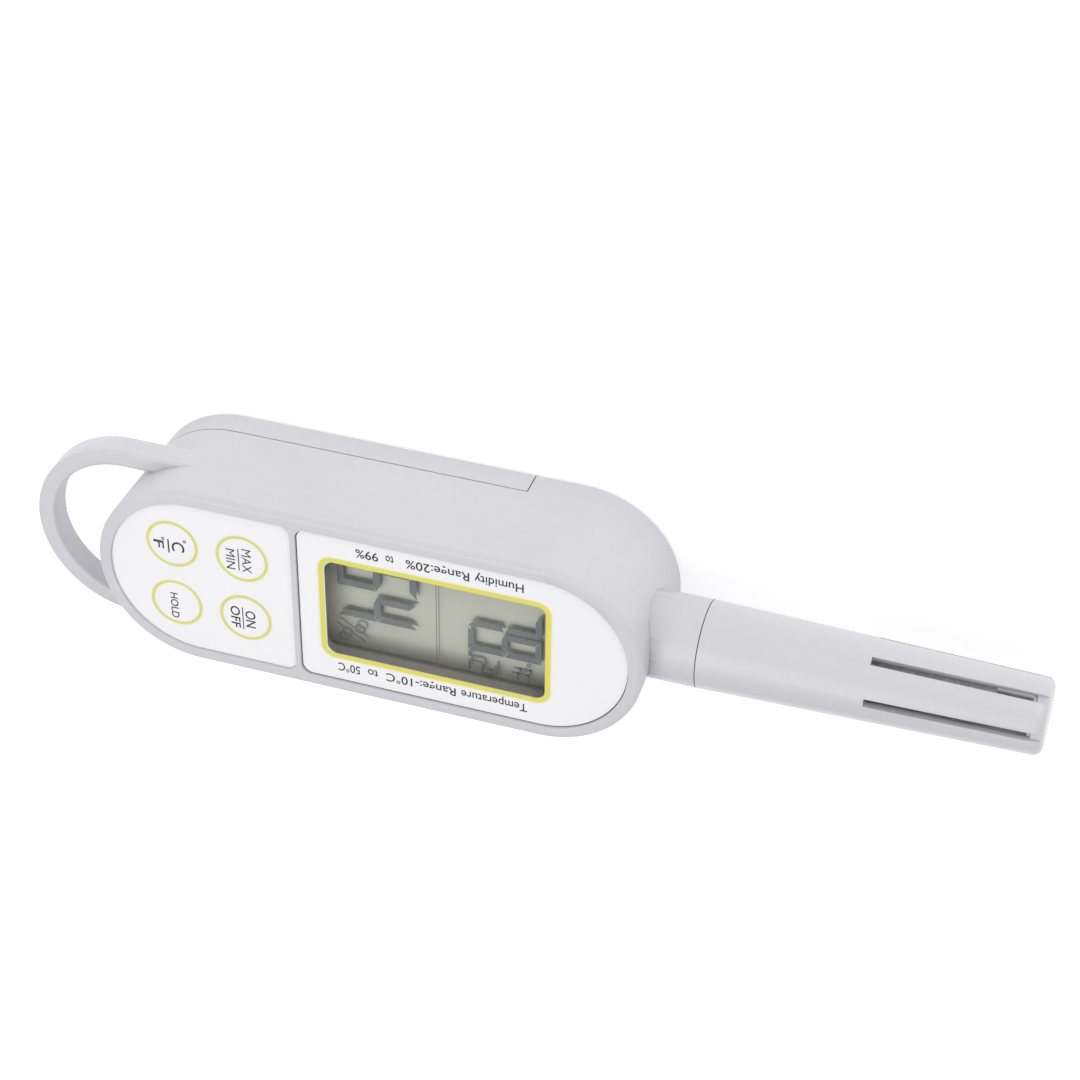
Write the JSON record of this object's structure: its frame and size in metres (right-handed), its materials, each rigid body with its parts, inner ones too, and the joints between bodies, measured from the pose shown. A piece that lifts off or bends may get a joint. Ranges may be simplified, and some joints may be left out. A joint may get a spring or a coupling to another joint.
{
  "type": "handheld thermo-hygrometer",
  "caption": "Handheld humidity and temperature meter with a display, round membrane keys, a slotted probe whose sleeve twists, and a hanging loop.",
  "frame": {"origin": "middle of the flat back face the meter lies on, under the centre of its round-ended body", "axes": "+X along the body to the probe tip, +Z out through the display, +Y across"},
  "size_m": [0.2178, 0.044, 0.0312],
  "materials": {
    "housing_plastic": "satin moulded ABS",
    "sleeve_plastic": "satin moulded ABS",
    "overlay_film": "satin printed polyester film",
    "key_cap": "satin printed polyester film",
    "clear_lens": "clear acrylic",
    "printed_mask": "satin printed polyester film",
    "lcd_glass": "polarised liquid crystal glass",
    "reflector_film": "matte reflector film",
    "frame_plastic": "grey moulded carrier",
    "zebra_rubber": "silicone connector strip",
    "board_laminate": "solder mask",
    "switch_plastic": "moulded",
    "dome_steel": "stamped",
    "chip_epoxy": "cured epoxy",
    "crystal_can": "plain can",
    "capacitor_can": "drawn can",
    "resistor_body": "thick film",
    "screw_steel": "zinc plated",
    "tray_plastic": "moulded ABS",
    "spring_steel": "nickel plated",
    "cell_wrap": "printed sleeve on a steel can",
    "tube_plastic": "satin moulded ABS",
    "nut_plastic": "moulded nylon",
    "ring_rubber": "nitrile",
    "strip_laminate": "solder mask",
    "sensor_body": "moulded",
    "thermistor_bead": "glass bead",
    "lead_insulation": "PVC insulation"
  },
  "bodies": {
    "meter": {"main_housing": "housing_plastic", "hanging_loop": "housing_plastic", "key_overlay": "overlay_film", "display_lens": "clear_lens", "lens_mask": "printed_mask", "lcd_glass": "lcd_glass", "lcd_reflector": "reflector_film", "lcd_frame": "frame_plastic", "zebra_strips": "zebra_rubber", "main_board": "board_laminate", "switch_bodies": "switch_plastic", "switch_domes": "dome_steel", "chip_blob": "chip_epoxy", "clock_crystal": "crystal_can", "smoothing_capacitor": "capacitor_can", "small_resistors": "resistor_body", "board_screws": "screw_steel", "battery_tray": "tray_plastic", "tray_screws": "screw_steel", "contact_springs": "spring_steel", "contact_plates": "spring_steel", "batteries": "cell_wrap", "probe_tube": "tube_plastic", "tube_nut": "nut_plastic", "friction_ring": "ring_rubber", "sensor_board": "strip_laminate", "humidity_sensor": "sensor_body", "thermistor": "thermistor_bead", "sensor_leads": "lead_insulation"},
    "battery_cover": {"battery_cover": "housing_plastic"},
    "sleeve": {"probe_sleeve": "sleeve_plastic"},
    "key_unit_cap": {"key_unit": "key_cap"},
    "key_hold_cap": {"key_hold": "key_cap"},
    "key_max_min_cap": {"key_max_min": "key_cap"},
    "key_power_cap": {"key_power": "key_cap"}
  },
  "joints": [
    {"name": "sleeve_twist", "type": "hinge", "parent": "meter", "child": "sleeve", "pos_m": [0.104, 0, 0.0165], "axis": [1, 0, 0], "range_deg": [0, 30]},
    {"name": "cover_slide", "type": "slide", "parent": "meter", "child": "battery_cover", "axis": [-1, 0, 0], "range_m": [0, 0.092]},
    {"name": "key_unit_press", "type": "slide", "parent": "meter", "child": "key_unit_cap", "axis": [0, 0, -1], "range_m": [0, 0.00035], "stiffness_N_per_m": 2500},
    {"name": "key_hold_press", "type": "slide", "parent": "meter", "child": "key_hold_cap", "axis": [0, 0, -1], "range_m": [0, 0.00035], "stiffness_N_per_m": 2500},
    {"name": "key_max_min_press", "type": "slide", "parent": "meter", "child": "key_max_min_cap", "axis": [0, 0, -1], "range_m": [0, 0.00035], "stiffness_N_per_m": 2500},
    {"name": "key_power_press", "type": "slide", "parent": "meter", "child": "key_power_cap", "axis": [0, 0, -1], "range_m": [0, 0.00035], "stiffness_N_per_m": 2500}
  ]
}
